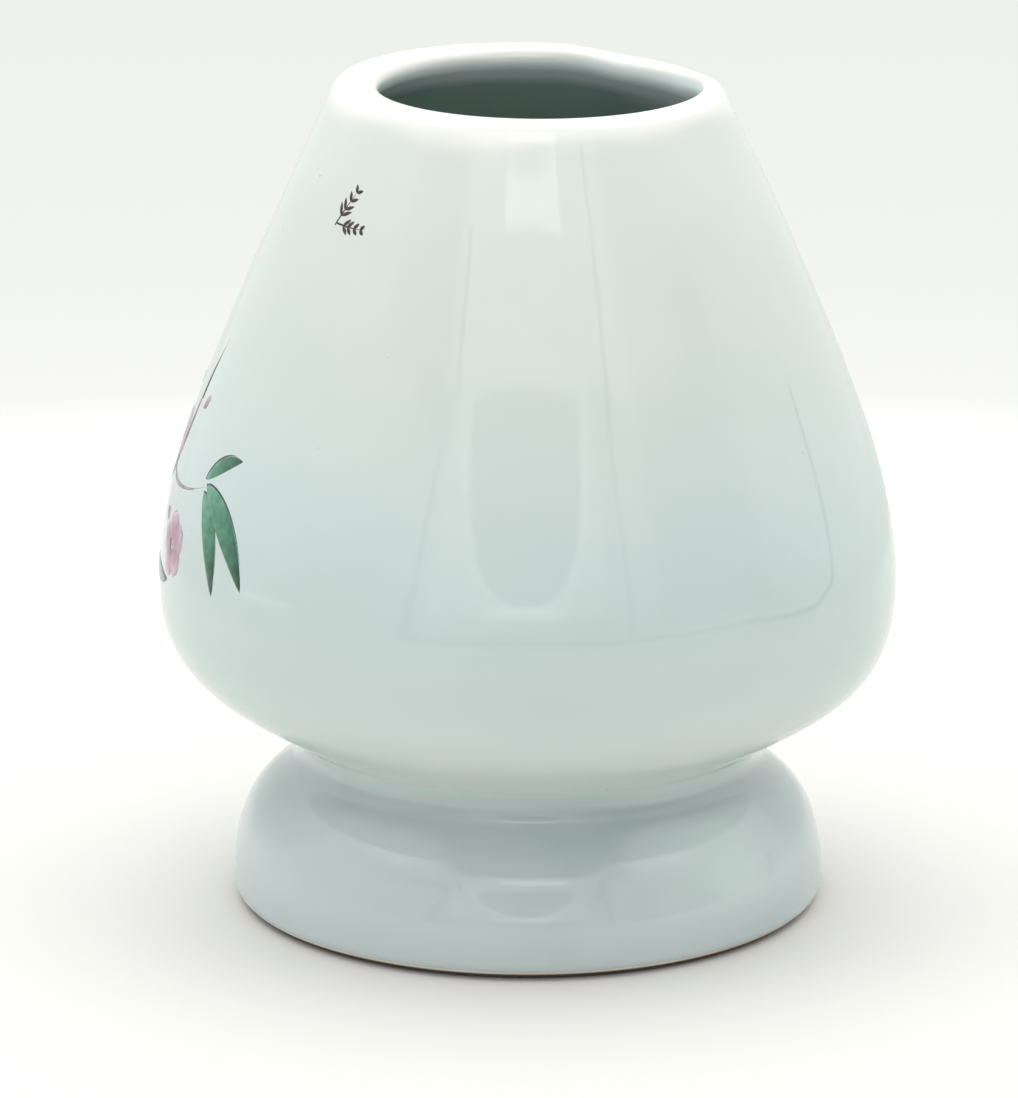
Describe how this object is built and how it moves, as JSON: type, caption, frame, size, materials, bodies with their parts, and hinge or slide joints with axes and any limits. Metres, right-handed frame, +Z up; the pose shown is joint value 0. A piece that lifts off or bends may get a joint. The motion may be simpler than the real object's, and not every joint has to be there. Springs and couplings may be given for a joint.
{
  "type": "tea whisk holder",
  "caption": "Glazed porcelain holder for drying a bamboo tea whisk: a hollow bulb with a rounded open mouth on a spreading foot.",
  "frame": {"origin": "middle of the flat ring under the foot, on the surface that it stands on", "axes": "+Z up along the axis of turning, with the front towards -Y"},
  "size_m": [0.06, 0.06, 0.068],
  "materials": {
    "celadon_glaze": "glossy pale green-white glaze over white porcelain",
    "pooled_glaze": "glossy glaze, thick and blue-grey where it pools in the groove",
    "foot_glaze": "glossy grey-green glaze, with a bare matt ring where the foot stands",
    "overglaze_enamel": "slightly raised painted enamel in green, mauve, grey and black"
  },
  "bodies": {
    "root": {"upper_body": "celadon_glaze", "luting_seam": "pooled_glaze", "pedestal_foot": "foot_glaze"}
  },
  "joints": []
}
